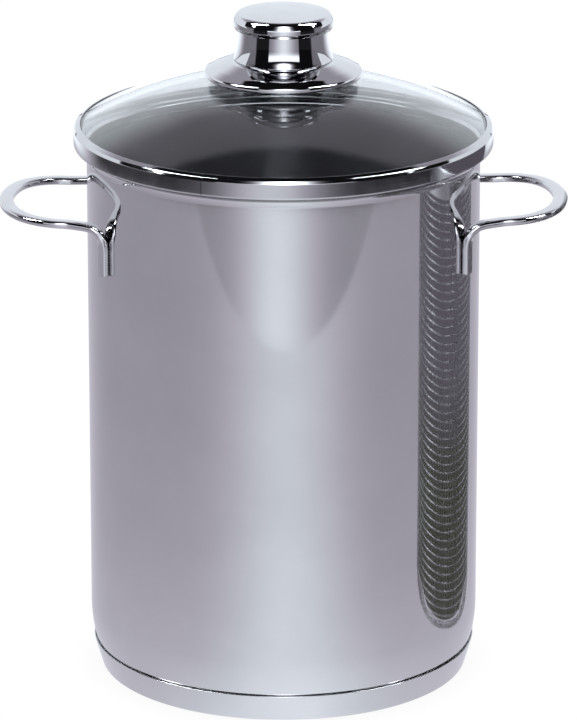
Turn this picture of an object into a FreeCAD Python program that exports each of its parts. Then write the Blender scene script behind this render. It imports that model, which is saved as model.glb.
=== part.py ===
import FreeCAD, Part
import math
import os

from FreeCAD import Vector

# Tall narrow stock pot for small-batch water bath canning, with a domed glass
# lid and a lift-out woven wire basket that holds the jars. Millimetres, +Z up.
# The saved parts have their origin at the centre of the base, on the surface the
# pot stands on. Heights in this file are measured from a datum 1.2 mm above that
# surface, and every part is moved up by the same 1.2 mm as it is saved.
# The two loop handles point along -X (left) and +X (right).

os.makedirs("parts", exist_ok=True)

STAND_Z = -1.2  # the surface the pot stands on


# ------------------------------------------------------------------- helpers
# Profiles are drawn in the XZ plane as (r, z) pairs and turned about Z.
def flat(point):
    return Vector(point[0], 0, point[1])


def polar(centre, radius, degrees):
    angle = math.radians(degrees)
    return centre[0] + radius * math.cos(angle), centre[1] + radius * math.sin(angle)


def lines(*points):
    """Straight edges joining the (r, z) points in turn."""
    return [
        Part.LineSegment(flat(a), flat(b)).toShape() for a, b in zip(points, points[1:])
    ]


def arc_through(first, middle, last):
    return Part.Arc(flat(first), flat(middle), flat(last)).toShape()


def arc(centre, radius, start, end):
    """Arc about centre between two angles in degrees."""
    angles = (start, (start + end) / 2, end)
    return arc_through(*[polar(centre, radius, angle) for angle in angles])


def outline(corners):
    """Closed run of edges through (r, z, fillet radius) corners."""
    count = len(corners)
    points = [flat(corner) for corner in corners]
    starts, ends = [], []  # where each corner's fillet begins and finishes
    for i, (_, _, fillet) in enumerate(corners):
        point = points[i]
        if fillet <= 0:
            starts.append(point)
            ends.append(point)
            continue
        back = (points[i - 1] - point).normalize()
        ahead = (points[(i + 1) % count] - point).normalize()
        cut = fillet / math.tan(back.getAngle(ahead) / 2)
        starts.append(point + back * cut)
        ends.append(point + ahead * cut)
    edges = []
    for i, (_, _, fillet) in enumerate(corners):
        start, end, point = starts[i], ends[i], points[i]
        if fillet > 0:
            inward = ((start + end) * 0.5 - point).normalize()
            half_angle = (start - point).getAngle(end - point) / 2
            centre = point + inward * (fillet / math.sin(half_angle))
            middle = centre + (point - centre).normalize() * fillet
            edges.append(Part.Arc(start, middle, end).toShape())
        following = starts[(i + 1) % count]
        if (following - end).Length > 1e-6:
            edges.append(Part.LineSegment(end, following).toShape())
    return edges


def tidy(shape):
    """The single solid inside shape, turned right side out."""
    if shape.ShapeType != "Solid" and len(shape.Solids) == 1:
        shape = shape.Solids[0]
    if shape.Volume < 0:
        shape.reverse()
    return shape


def spin(edges):
    face = Part.Face(Part.Wire(Part.__sortEdges__(edges)))
    return tidy(face.revolve(Vector(0, 0, 0), Vector(0, 0, 1), 360))


def turned(corners):
    return spin(outline(corners))


def bent_rod(corners, radius):
    """Round rod through (point, bend radius) corners, each a right angle."""
    bulge = 1 - math.cos(math.radians(45))
    first, last = corners[0][0], corners[-1][0]
    edges = []
    start = first
    for i in range(1, len(corners) - 1):
        point, bend = corners[i]
        back = (corners[i - 1][0] - point).normalize() * bend
        ahead = (corners[i + 1][0] - point).normalize() * bend
        edges.append(Part.LineSegment(start, point + back).toShape())
        middle = point + (back + ahead) * bulge
        edges.append(Part.Arc(point + back, middle, point + ahead).toShape())
        start = point + ahead
    edges.append(Part.LineSegment(start, last).toShape())
    direction = (corners[1][0] - first).normalize()
    section = Part.Wire([Part.Circle(first, direction, radius).toShape()])
    return tidy(Part.Wire(edges).makePipeShell([section], True, True, 2))


def save(name, shapes):
    """Write one solid or a list of solids, moved up to the standing surface."""
    if not isinstance(shapes, list):
        shapes = [shapes]
    solids = [solid for shape in shapes for solid in shape.Solids]
    part = solids[0] if len(solids) == 1 else Part.makeCompound(solids)
    part = part.copy()
    part.translate(Vector(0, 0, -STAND_Z))
    part.exportStep("parts/%s.step" % name)


# ----------------------------------------------------------------- pot shell
POT_RI = 80.0  # inside radius, a 16 cm pot
WALL = 0.8
POT_RO = POT_RI + WALL
BELLY_R = 60.0  # the wall eases inwards on this radius before the foot
BELLY_Z = 25.4  # where that starts
FOOT_TOP = 11.2  # where the tighter radius of the foot takes over
FLOOR_Z = 6.2  # underside of the drawn floor
FLOOR_TOP = FLOOR_Z + WALL
FLARE_R = 4.2  # outside radius of the flare
FLARE_A = 78.0  # degrees the wall turns through at the rim
FLARE_RI = FLARE_R + WALL
RIM_Z = 223.347  # where the inside of the flare ends
FLARE_Z = RIM_Z - FLARE_RI * math.sin(math.radians(FLARE_A))

BELLY_CENTRE = (POT_RO - BELLY_R, BELLY_Z)
BELLY_A = math.degrees(math.asin((BELLY_Z - FOOT_TOP) / BELLY_R))
BELLY_SIN = math.sin(math.radians(BELLY_A))
BELLY_COS = math.cos(math.radians(BELLY_A))
# The foot's arcs meet the belly's without a kink and run level into the floor.
FOOT_R = (FOOT_TOP - FLOOR_Z) / (1 - BELLY_SIN)
FOOT_CENTRE = (
    BELLY_CENTRE[0] + (BELLY_R - FOOT_R) * BELLY_COS,
    FOOT_TOP + FOOT_R * BELLY_SIN,
)
FLARE_CENTRE = (POT_RO + FLARE_R, FLARE_Z)


def pot_body():
    """Floor, rounded foot, a wall that eases in towards it, and a flared rim."""
    flare_end = 180 - FLARE_A
    rim_out = polar(FLARE_CENTRE, FLARE_R, flare_end)
    rim_in = polar(FLARE_CENTRE, FLARE_RI, flare_end)
    nose = ((rim_out[0] + rim_in[0]) / 2, (rim_out[1] + rim_in[1]) / 2)
    tip = polar(nose, WALL / 2, 90 - FLARE_A)
    edges = lines((0, FLOOR_Z), (FOOT_CENTRE[0], FLOOR_Z))
    edges.append(arc(FOOT_CENTRE, FOOT_R, -90, -BELLY_A))
    edges.append(arc(BELLY_CENTRE, BELLY_R, -BELLY_A, 0))
    edges += lines((POT_RO, BELLY_Z), (POT_RO, FLARE_Z))
    edges.append(arc(FLARE_CENTRE, FLARE_R, 180, flare_end))
    edges.append(arc_through(rim_out, tip, rim_in))
    edges.append(arc(FLARE_CENTRE, FLARE_RI, flare_end, 180))
    edges += lines((POT_RI, FLARE_Z), (POT_RI, BELLY_Z))
    edges.append(arc(BELLY_CENTRE, BELLY_R - WALL, 0, -BELLY_A))
    edges.append(arc(FOOT_CENTRE, FOOT_R - WALL, -BELLY_A, -90))
    edges += lines((FOOT_CENTRE[0], FLOOR_TOP), (0, FLOOR_TOP), (0, FLOOR_Z))
    return spin(edges)


# ------------------------------------------------------------- sandwich base
CAP_R0 = 76.4  # outside radius at the standing surface
CAP_R1 = 79.75  # outside radius at the top edge
CAP_Z = 10.4  # top edge
CAP_T = 0.6  # bottom thickness
CAP_SIDE = 0.4  # side thickness
CAP_CORNER = 0.5  # rounding inside the cup
CORE_Z0 = STAND_Z + CAP_T
CORE_Z1 = 8.2
CORE_FIT = 0.01  # clearance between core and cap side


def cap_side(z, inset):
    """Radius of the cap's leaning side at height z, less an inset."""
    return CAP_R0 + (CAP_R1 - CAP_R0) * (z - STAND_Z) / (CAP_Z - STAND_Z) - inset


def base_cap():
    """Shallow steel cup. Its top edge stands clear of the shell, an open seam."""
    return turned(
        [
            (0, STAND_Z, 0),
            (CAP_R0, STAND_Z, 1.1),
            (CAP_R1, CAP_Z, 0.13),
            (CAP_R1 - CAP_SIDE, CAP_Z, 0.1),
            (cap_side(CORE_Z0, CAP_SIDE), CORE_Z0, CAP_CORNER),
            (0, CORE_Z0, 0),
        ]
    )


def base_core():
    """Aluminium core between the cap and the shell's floor."""
    # where the core's top meets the outside of the foot
    below = FOOT_CENTRE[1] - CORE_Z1
    across = math.sqrt(FOOT_R**2 - below**2)
    meet_angle = math.degrees(math.atan2(-below, across))
    inset = CAP_SIDE + CORE_FIT
    corner_z = CORE_Z0 + CAP_CORNER
    edges = lines(
        (0, CORE_Z0),
        (cap_side(CORE_Z0, CAP_SIDE) - CAP_CORNER, CORE_Z0),
        (cap_side(corner_z, inset), corner_z),
        (cap_side(CORE_Z1, inset), CORE_Z1),
        (FOOT_CENTRE[0] + across, CORE_Z1),
    )
    edges.append(arc(FOOT_CENTRE, FOOT_R, meet_angle, -90))
    edges += lines((FOOT_CENTRE[0], FLOOR_Z), (0, FLOOR_Z), (0, CORE_Z0))
    return spin(edges)


# ------------------------------------------------------------------- handles
# Flattened rod: each leg lies flat on the wall, bends out, and the two runs
# join in a bowed end.
ROD_W = 6.0
ROD_T = 3.2
ROD_POWER = 3.2  # superellipse exponent of the rod's section
ROD_POINTS = 28  # points round the section, a multiple of four
LEG_AZ = 26.0  # legs stand this far either side of the X axis
LEG_Z0 = 177.5
RUN_Z = 197.6
TIP_Z = 199.4
LEG_R = POT_RO + ROD_T / 2 + 0.02
GROUND_R = POT_RO + 0.01  # backs of the legs
TWIST_Z = RUN_Z - 7.5  # the rod's wide side turns level from here
TWIST_H = 6.6  # over this height
LEVEL_X = 90.0  # and is level beyond this x
SUBSTEPS = 3  # spline steps between stations

# Centreline stations on the +Y side, from the foot of the leg towards the tip.
# x and y measured from the leg, then z
LEG_STATIONS = [
    (0, 0, LEG_Z0),
    (0, 0, LEG_Z0 + 4.0),
    (0, 0, LEG_Z0 + 8.0),
    (0, 0, LEG_Z0 + 11.5),
    (0.35, -0.05, RUN_Z - 5.4),
    (1.45, -0.35, RUN_Z - 2.75),
    (3.5, -0.9, RUN_Z - 0.85),
    (6.2, -1.75, RUN_Z - 0.05),
    (9.5, -2.7, RUN_Z + 0.25),
]
# x, y, z
BOW_STATIONS = [
    (88.0, 32.3, RUN_Z + 0.55),
    (93.5, 31.8, RUN_Z + 0.85),
    (98.5, 30.4, RUN_Z + 1.1),
    (103.0, 27.8, RUN_Z + 1.35),
    (107.0, 23.8, RUN_Z + 1.55),
    (110.2, 18.3, RUN_Z + 1.7),
    (112.3, 12.3, TIP_Z - 0.05),
    (113.5, 6.1, TIP_Z),
]
TIP_STATION = (114.0, 0, TIP_Z)


def catmull(points, steps):
    """Catmull-Rom points: steps per span, passing through every given point."""
    out = []
    last = len(points) - 1
    for i in range(last):
        before, start = points[max(i - 1, 0)], points[i]
        end, after = points[i + 1], points[min(i + 2, last)]
        for k in range(steps):
            t = k / steps
            out.append(
                (
                    start * 2
                    + (end - before) * t
                    + (before * 2 - start * 5 + end * 4 - after) * t**2
                    + (start * 3 - before - end * 3 + after) * t**3
                )
                * 0.5
            )
    out.append(points[-1])
    return out


def handle_track():
    leg_x = LEG_R * math.cos(math.radians(LEG_AZ))
    leg_y = LEG_R * math.sin(math.radians(LEG_AZ))
    half = [Vector(leg_x + x, leg_y + y, z) for x, y, z in LEG_STATIONS]
    half += [Vector(*station) for station in BOW_STATIONS]
    mirrored = [Vector(p.x, -p.y, p.z) for p in reversed(half)]
    return catmull(half + [Vector(*TIP_STATION)] + mirrored, SUBSTEPS)


def rod_section(centre, wide, thin):
    """Superellipse points about centre; the last repeats the first."""
    power = 2.0 / ROD_POWER
    row = []
    for j in range(ROD_POINTS + 1):
        angle = 2 * math.pi * (j % ROD_POINTS) / ROD_POINTS + math.pi / 4
        c, s = math.cos(angle), math.sin(angle)
        along_wide = math.copysign(abs(c) ** power, c) * ROD_W / 2
        along_thin = math.copysign(abs(s) ** power, s) * ROD_T / 2
        row.append(centre + wide * along_wide + thin * along_thin)
    return row


def rod_sections():
    """A section at each station: wide side on the wall at the legs, then level."""
    fine = handle_track()
    rows = []
    previous = None
    for i in range(0, len(fine), SUBSTEPS):
        centre = fine[i]
        ahead, behind = fine[min(i + 1, len(fine) - 1)], fine[max(i - 1, 0)]
        tangent = (ahead - behind).normalize()
        blend = max(0.0, min(1.0, (centre.z - TWIST_Z) / TWIST_H))
        blend = blend * blend * (3 - 2 * blend)
        if centre.x > LEVEL_X:
            blend = 1.0
        radial = Vector(centre.x, centre.y, 0).normalize()
        wide = Vector(-radial.y, radial.x, 0)
        if previous is not None:
            level = Vector(0, 0, 1).cross(tangent)
            if level.Length > 1e-3:
                level.normalize()
            # both directions keep to the side used at the last station
            if level.dot(previous) < 0:
                level = level * -1
            if wide.dot(previous) < 0:
                wide = wide * -1
            wide = level * blend + wide * (1 - blend)
        wide = wide - tangent * wide.dot(tangent)
        wide.normalize()
        previous = wide
        thin = tangent.cross(wide).normalize()
        rows.append(rod_section(centre, wide, thin))
    return rows


def loop_handle():
    """The +X handle: ruled faces between the sections, a quarter at a time."""
    quarter_points = ROD_POINTS // 4
    rings = []
    for row in rod_sections():
        quarters = []
        for q in range(4):
            curve = Part.BSplineCurve()
            first = q * quarter_points
            curve.interpolate(row[first : first + quarter_points + 1])
            quarters.append(curve.toShape())
        rings.append(quarters)
    faces = [
        Part.makeRuledSurface(ring[q], following[q])
        for ring, following in zip(rings, rings[1:])
        for q in range(4)
    ]
    faces += [Part.Face(Part.Wire(rings[0])), Part.Face(Part.Wire(rings[-1]))]
    shell = Part.makeShell(faces)
    shell.sewShape()
    # sewing may wrap the shell in another shape
    if shell.ShapeType != "Shell":
        shell = shell.Shells[0]
    rod = tidy(Part.Solid(shell))
    # the back of each leg is ground to the curve of the wall
    pot = Part.makeCylinder(GROUND_R, 260, Vector(0, 0, 0), Vector(0, 0, 1))
    return tidy(rod.cut(pot))


# ----------------------------------------------------------------------- lid
GLASS_R = 180.0  # outside radius of the dome
GLASS_T = 4.0
GLASS_RI = GLASS_R - GLASS_T
GLASS_TOP = 251.9
GLASS_EDGE = 85.3
GLASS_ROUND = 0.8  # rounding of the ground edge
GLASS_HOLE = 4.0  # radius of the hole for the knob's screw
BAND_R = 86.1
BAND_T = 0.5
BAND_Z0 = 223.4
BAND_Z1 = 230.4
JOINT_AZ = 246.5  # where the rolled band's ends meet
JOINT_GAP = 0.25


def dome(r, radius=GLASS_R):
    """Height of the glass at r, on its outside unless told otherwise."""
    return GLASS_TOP - GLASS_R + math.sqrt(radius**2 - r**2)


def dome_arc(radii, radius, lift=0):
    """Arc along the dome through three radii, raised by lift."""
    return arc_through(*[(r, dome(r, radius) + lift) for r in radii])


def lid_glass():
    """Domed glass with a centre hole and a ground edge."""
    shoulder = GLASS_EDGE - GLASS_ROUND
    middle = (GLASS_HOLE + shoulder) / 2
    bulge = GLASS_EDGE - 0.24
    top = dome(shoulder)
    bottom = dome(shoulder, GLASS_RI)
    edge_top = (GLASS_EDGE, top - 1.6)
    edge_bottom = (GLASS_EDGE, bottom + 1.0)
    edges = [
        dome_arc((GLASS_HOLE, middle, shoulder), GLASS_R),
        arc_through((shoulder, top), (bulge, top - 0.75), edge_top),
        *lines(edge_top, edge_bottom),
        arc_through(edge_bottom, (bulge, bottom + 0.3), (shoulder, bottom)),
        dome_arc((shoulder, middle, GLASS_HOLE), GLASS_RI),
        *lines((GLASS_HOLE, dome(GLASS_HOLE, GLASS_RI)), (GLASS_HOLE, dome(GLASS_HOLE))),
    ]
    return spin(edges)


def lid_rim_band():
    """Rolled steel band: lip over the glass, outer wall, ledge that sits on the
    pot's rim, a riser that carries the glass and a skirt that drops inside."""
    ledge_top = BAND_Z0 + BAND_T
    band = turned(
        [
            (83.35, 231.62, 0),
            (83.35, 232.18, 0.25),
            (BAND_R - 0.75, 231.05, 0.55),
            (BAND_R, BAND_Z1 - 0.55, 0.5),
            (BAND_R, BAND_Z0, 0.75),
            (80.6, BAND_Z0, 0.6),
            (79.35, 222.6, 0.8),
            (79.35, 219.8, 0.24),
            (78.85, 219.8, 0.24),
            (78.85, 222.9, 0.8),
            (80.2, ledge_top, 0.5),
            (82.6, ledge_top, 0.35),
            (82.6, 227.12, 0.3),
            (83.2, 226.85, 0),
            (83.2, ledge_top, 0.25),
            (BAND_R - BAND_T, ledge_top, 0.3),
            (BAND_R - BAND_T, BAND_Z1 - 0.35, 0.2),
            (BAND_R - 1.0, 230.72, 0.2),
        ]
    )
    gap = Part.makeBox(12, JOINT_GAP, 14, Vector(77, -JOINT_GAP / 2, 219))
    gap.rotate(Vector(0, 0, 0), Vector(0, 0, 1), JOINT_AZ)
    return tidy(band.cut(gap))


# ---------------------------------------------------------------------- knob
FIT = 0.01  # clearance between stacked knob parts
SAUCER_Z0 = 253.0  # top of the upper gasket
SAUCER_R = 32.3
KNOB_BORE = 3.2  # screw hole through saucer and body
BODY_R = 18.35
BODY_RI = BODY_R - 0.8
BODY_Z0 = 259.0
BODY_Z1 = 273.2
BODY_FLOOR = BODY_Z0 + 0.81  # top of the drum's floor
KNOB_CAP_R = 20.7
KNOB_CAP_Z0 = 271.8
KNOB_CAP_Z1 = 278.9
KNOB_CAP_BORE = BODY_R + 0.02
KNOB_CORE_R = BODY_RI - 0.05
KNOB_CORE_Z0 = BODY_FLOOR + 0.02
KNOB_CORE_Z1 = 272.8
KNOB_CORE_BORE = 3.1
POCKET_R = 4.6  # pocket in the core for the insert
POCKET_Z0 = 261.2
POCKET_Z1 = 270.0
INSERT_R = POCKET_R - 0.02
INSERT_WAIST = POCKET_R - 0.5
INSERT_Z0 = POCKET_Z0 + 0.02
INSERT_Z1 = POCKET_Z1 - 0.1
SCREW_R = 2.5
SCREW_TOP = 268.6
UPPER_R = 15.0  # upper gasket
UPPER_BORE = 4.2
LOWER_R = 9.5  # lower gasket
LOWER_BORE = SCREW_R + 0.1
LOWER_Z = 246.3  # underside of the lower gasket
SLEEVE_R = GLASS_HOLE - 0.05
SLEEVE_TOP = GLASS_TOP - 0.1
WASHER_R = 9.0
WASHER_BORE = SCREW_R + 0.15
WASHER_Z1 = LOWER_Z - FIT
WASHER_Z0 = WASHER_Z1 - 1.2
HEAD_Z = WASHER_Z0 - FIT  # seat of the screw's head
SLOT_W = 1.2
SLOT_L = 5.4
SLOT_H = 2.2


def knob_gasket_upper():
    """Silicone washer between the glass and the saucer."""
    edges = lines(
        (UPPER_BORE, SAUCER_Z0), (UPPER_R, SAUCER_Z0), (UPPER_R, dome(UPPER_R) + FIT)
    )
    edges.append(dome_arc((UPPER_R, 9.0, UPPER_BORE), GLASS_R, FIT))
    edges += lines((UPPER_BORE, dome(UPPER_BORE) + FIT), (UPPER_BORE, SAUCER_Z0))
    return spin(edges)


def knob_saucer():
    """Thick hub, hollow underside, convex top and a rounded lip."""
    return turned(
        [
            (KNOB_BORE, SAUCER_Z0 + FIT, 0),
            (16.0, SAUCER_Z0 + FIT, 0.6),
            (18.0, 257.0, 1.5),
            (28.6, 254.2, 1.2),
            (29.4, 251.75, 0.9),
            (SAUCER_R - 0.1, 251.55, 1.25),
            (SAUCER_R, 254.25, 1.3),
            (28.6, 256.15, 12.0),
            (22.2, 258.75, 5.0),
            (20.4, BODY_Z0, 1.2),
            (KNOB_BORE, BODY_Z0, 0),
        ]
    )


def knob_body():
    """Drawn drum with a floor, open on top, spreading a little to its foot."""
    return turned(
        [
            (KNOB_BORE, BODY_Z0 + FIT, 0),
            (20.6, BODY_Z0 + FIT, 0.3),
            (20.0, 260.6, 15.0),
            (19.2, 263.2, 28.0),
            (BODY_R, 268.5, 33.0),
            (BODY_R, BODY_Z1, 0.2),
            (BODY_RI, BODY_Z1, 0.2),
            (BODY_RI, 268.3, 28.0),
            (18.4, 262.8, 20.0),
            (18.9, BODY_FLOOR, 0.4),
            (KNOB_BORE, BODY_FLOOR, 0),
        ]
    )


def knob_cap():
    """Pressed shell with a domed top and a thin turned lip."""
    return turned(
        [
            (0, KNOB_CAP_Z1 + 0.02, 0),
            (13.0, KNOB_CAP_Z1 - 0.3, 40.0),
            (19.1, KNOB_CAP_Z1 - 0.9, 2.6),
            (KNOB_CAP_R, 275.4, 3.0),
            (KNOB_CAP_R, 273.4, 1.2),
            (19.95, KNOB_CAP_Z0, 0.28),
            (KNOB_CAP_BORE, KNOB_CAP_Z0, 0.15),
            (KNOB_CAP_BORE, 273.3, 0.3),
            (19.6, 274.2, 0.8),
            (19.6, 275.2, 1.8),
            (17.9, 277.1, 1.6),
            (0, 277.9, 0),
        ]
    )


def knob_core():
    """Heat-resistant core inside the drum, with a pocket for the insert."""
    return turned(
        [
            (KNOB_CORE_BORE, KNOB_CORE_Z0, 0),
            (KNOB_CORE_R, KNOB_CORE_Z0, 0.7),
            (KNOB_CORE_R, KNOB_CORE_Z1, 0.8),
            (0, KNOB_CORE_Z1, 0),
            (0, POCKET_Z1, 0),
            (POCKET_R, POCKET_Z1, 0),
            (POCKET_R, POCKET_Z0, 0),
            (KNOB_CORE_BORE, POCKET_Z0, 0),
        ]
    )


def knob_insert():
    """Brass insert, drawn as a plain sleeve with a flange at each end."""
    bore = SCREW_R + 0.02
    return turned(
        [
            (bore, INSERT_Z0, 0),
            (INSERT_R, INSERT_Z0, 0.3),
            (INSERT_R, 263.6, 0.15),
            (INSERT_WAIST, 263.9, 0.15),
            (INSERT_WAIST, 267.3, 0.15),
            (INSERT_R, 267.6, 0.15),
            (INSERT_R, INSERT_Z1, 0.3),
            (bore, INSERT_Z1, 0),
        ]
    )


def knob_gasket_lower():
    """Silicone washer under the glass, with a sleeve that lines the hole."""
    edges = lines(
        (LOWER_BORE, LOWER_Z), (LOWER_R, LOWER_Z), (LOWER_R, dome(LOWER_R, GLASS_RI) - FIT)
    )
    edges.append(dome_arc((LOWER_R, 6.5, SLEEVE_R), GLASS_RI, -FIT))
    edges += lines(
        (SLEEVE_R, dome(SLEEVE_R, GLASS_RI) - FIT),
        (SLEEVE_R, SLEEVE_TOP),
        (LOWER_BORE, SLEEVE_TOP),
        (LOWER_BORE, LOWER_Z),
    )
    return spin(edges)


def knob_washer():
    """Steel washer under the lower gasket."""
    return turned(
        [
            (WASHER_BORE, WASHER_Z0, 0),
            (WASHER_R, WASHER_Z0, 0.2),
            (WASHER_R, WASHER_Z1, 0.2),
            (WASHER_BORE, WASHER_Z1, 0),
        ]
    )


def knob_screw():
    """Pan-head screw, head down, with a cross cut in its head."""
    screw = turned(
        [
            (0, HEAD_Z - 2.9, 0),
            (4.7, HEAD_Z - 2.6, 1.2),
            (4.9, HEAD_Z, 0.15),
            (SCREW_R, HEAD_Z, 0),
            (SCREW_R, SCREW_TOP, 0.5),
            (0, SCREW_TOP, 0),
        ]
    )
    slots = [
        Part.makeBox(x, y, SLOT_H, Vector(-x / 2, -y / 2, HEAD_Z - 3.5))
        for x, y in ((SLOT_L, SLOT_W), (SLOT_W, SLOT_L))
    ]
    return tidy(screw.cut(slots[0].fuse(slots[1])))


# -------------------------------------------------------------------- basket
BASKET_R = 74.2  # outside of the mesh wall
MESH_T = 1.0
BASKET_RI = BASKET_R - MESH_T
BASKET_Z0 = 17.6  # underside of the flange
BASKET_Z1 = 171.0  # top of the rim band
BASKET_GAP = 0.02  # clearance between neighbouring parts
TURN_R = 10.0  # outside radius where the wall turns in
FLANGE_R = 60.0  # inner edge of the flange
DISC_R = BASKET_R - TURN_R - 0.1
DISC_Z1 = BASKET_Z0 - BASKET_GAP
DISC_Z0 = DISC_Z1 - MESH_T
RIM_T = 0.6
RIM_FIT = 0.03  # clearance between rim band and mesh
RIM_SLOT_RO = BASKET_R + RIM_FIT
RIM_SLOT_RI = BASKET_RI - RIM_FIT
RIM_RO = RIM_SLOT_RO + RIM_T
RIM_RI = RIM_SLOT_RI - RIM_T
RIM_Z0 = BASKET_Z1 - 9.0
HOOP_WIRE = 1.5  # wire radius
HOOP_R = 61.9
HOOP_Z = DISC_Z0 - BASKET_GAP - HOOP_WIRE
CROSS_WIRE = 1.25
FOOT_WIRE = 1.5
FOOT_HALF = 9.0  # half the width of a foot loop, on the wire's centreline
FOOT_BEND = 3.0
FOOT_Z = FLOOR_TOP + 0.05 + FOOT_WIRE
FEET_AZ = (0.0, 90.0, 180.0, 270.0)


def basket_mesh_wall():
    """Thin sleeve of woven wire, its foot drawn in to a narrow flange."""
    top = BASKET_Z1 - 0.9
    return turned(
        [
            (FLANGE_R, BASKET_Z0, 0),
            (BASKET_R, BASKET_Z0, TURN_R),
            (BASKET_R, top, 0),
            (BASKET_RI, top, 0),
            (BASKET_RI, BASKET_Z0 + MESH_T, TURN_R - MESH_T),
            (FLANGE_R, BASKET_Z0 + MESH_T, 0),
        ]
    )


def basket_mesh_floor():
    """Flat woven disc under the flange."""
    return turned(
        [(0, DISC_Z0, 0), (DISC_R, DISC_Z0, 0), (DISC_R, DISC_Z1, 0), (0, DISC_Z1, 0)]
    )


def basket_rim_band():
    """Strip folded over the top edge of the mesh."""
    fold_z = BASKET_Z1 - 0.75
    return turned(
        [
            (RIM_SLOT_RO, RIM_Z0, 0),
            (RIM_RO, RIM_Z0, 0.15),
            (RIM_RO, BASKET_Z1, 0.9),
            (RIM_RI, BASKET_Z1, 0.9),
            (RIM_RI, RIM_Z0, 0.15),
            (RIM_SLOT_RI, RIM_Z0, 0),
            (RIM_SLOT_RI, fold_z, 0.2),
            (RIM_SLOT_RO, fold_z, 0.2),
        ]
    )


def hoop(wire_radius):
    """Hoop of round wire under the edge of the floor."""
    return Part.makeTorus(HOOP_R, wire_radius, Vector(0, 0, HOOP_Z), Vector(0, 0, 1))


def basket_cross_wires():
    """Crossed wires under the floor: one runs across, two meet it halfway."""
    z = DISC_Z0 - BASKET_GAP - CROSS_WIRE
    reach = HOOP_R - HOOP_WIRE - BASKET_GAP
    start = CROSS_WIRE + BASKET_GAP
    wires = [
        Part.makeCylinder(CROSS_WIRE, 2 * reach, Vector(-reach, 0, z), Vector(1, 0, 0))
    ]
    for side in (1, -1):
        origin = Vector(0, side * start, z)
        wires.append(
            Part.makeCylinder(CROSS_WIRE, reach - start, origin, Vector(0, side, 0))
        )
    for wire in wires:
        wire.rotate(Vector(0, 0, 0), Vector(0, 0, 1), 45)
    return wires


def basket_feet():
    """Four bent wire loops welded under the hoop."""
    top = HOOP_Z - HOOP_WIRE + 0.55
    foot = bent_rod(
        [
            (Vector(HOOP_R, -FOOT_HALF, top), 0),
            (Vector(HOOP_R, -FOOT_HALF, FOOT_Z), FOOT_BEND),
            (Vector(HOOP_R, FOOT_HALF, FOOT_Z), FOOT_BEND),
            (Vector(HOOP_R, FOOT_HALF, top), 0),
        ],
        FOOT_WIRE,
    )
    foot = tidy(foot.cut(hoop(HOOP_WIRE + 0.01)))
    feet = []
    for azimuth in FEET_AZ:
        turned_foot = foot.copy()
        turned_foot.rotate(Vector(0, 0, 0), Vector(0, 0, 1), azimuth)
        feet.append(turned_foot)
    return feet


# ----------------------------------------------------- basket handles (bails)
BAIL_WIRE = 1.5  # wire radius
BAIL_Z = 174.0
BAIL_X = 64.0  # axis of the ends in the eyes
BAIL_Y = 30.0
BAIL_L = 42.0  # reach from the eyes towards the middle
BAIL_ARM_Y = BAIL_Y - 1.6  # the arms run at this |y|
BAIL_END_Y = BAIL_Y + 4.2
BAIL_CORNER = 10.0  # bend at the grip
BAIL_END_BEND = 2.2  # bend beside the eyes
EYE_T = 3.0  # how far along Y each eye reaches
EYE_Y0 = BAIL_Y + 0.9
EYE_Y1 = EYE_Y0 + EYE_T
EYE_R = BAIL_WIRE + 1.1
EYE_CLEAR = 0.06
TAIL_X0 = BAIL_X - EYE_R
TAIL_X1 = TAIL_X0 + 2.6
TAIL_H = 8.5
TAIL_SPLIT = BASKET_Z1 + 0.3  # below this the tail is kept inside the rim band
TAB_X0 = BAIL_X - 9.5
TAB_X1 = BAIL_X - 1.5
TAB_Y0 = 26.4
TAB_TOP = BAIL_Z - BAIL_WIRE - 0.1
TAB_T = 1.5


def bail(side):
    """Folding U of round wire lying level, its ends turned out into the eyes."""
    end_x, grip_x = side * BAIL_X, side * (BAIL_X - BAIL_L)
    corners = [
        (end_x, -BAIL_END_Y, 0),
        (end_x, -BAIL_ARM_Y, BAIL_END_BEND),
        (grip_x, -BAIL_ARM_Y, BAIL_CORNER),
        (grip_x, BAIL_ARM_Y, BAIL_CORNER),
        (end_x, BAIL_ARM_Y, BAIL_END_BEND),
        (end_x, BAIL_END_Y, 0),
    ]
    return bent_rod([(Vector(x, y, BAIL_Z), bend) for x, y, bend in corners], BAIL_WIRE)


def quadrant_box(x_side, y_side, x_range, y_range, z_range):
    """Box given by its |x|, |y| and z ranges, placed in the chosen quadrant."""
    x = x_range[0] if x_side > 0 else -x_range[1]
    y = y_range[0] if y_side > 0 else -y_range[1]
    sizes = [high - low for low, high in (x_range, y_range, z_range)]
    return Part.makeBox(*sizes, Vector(x, y, z_range[0]))


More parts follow.
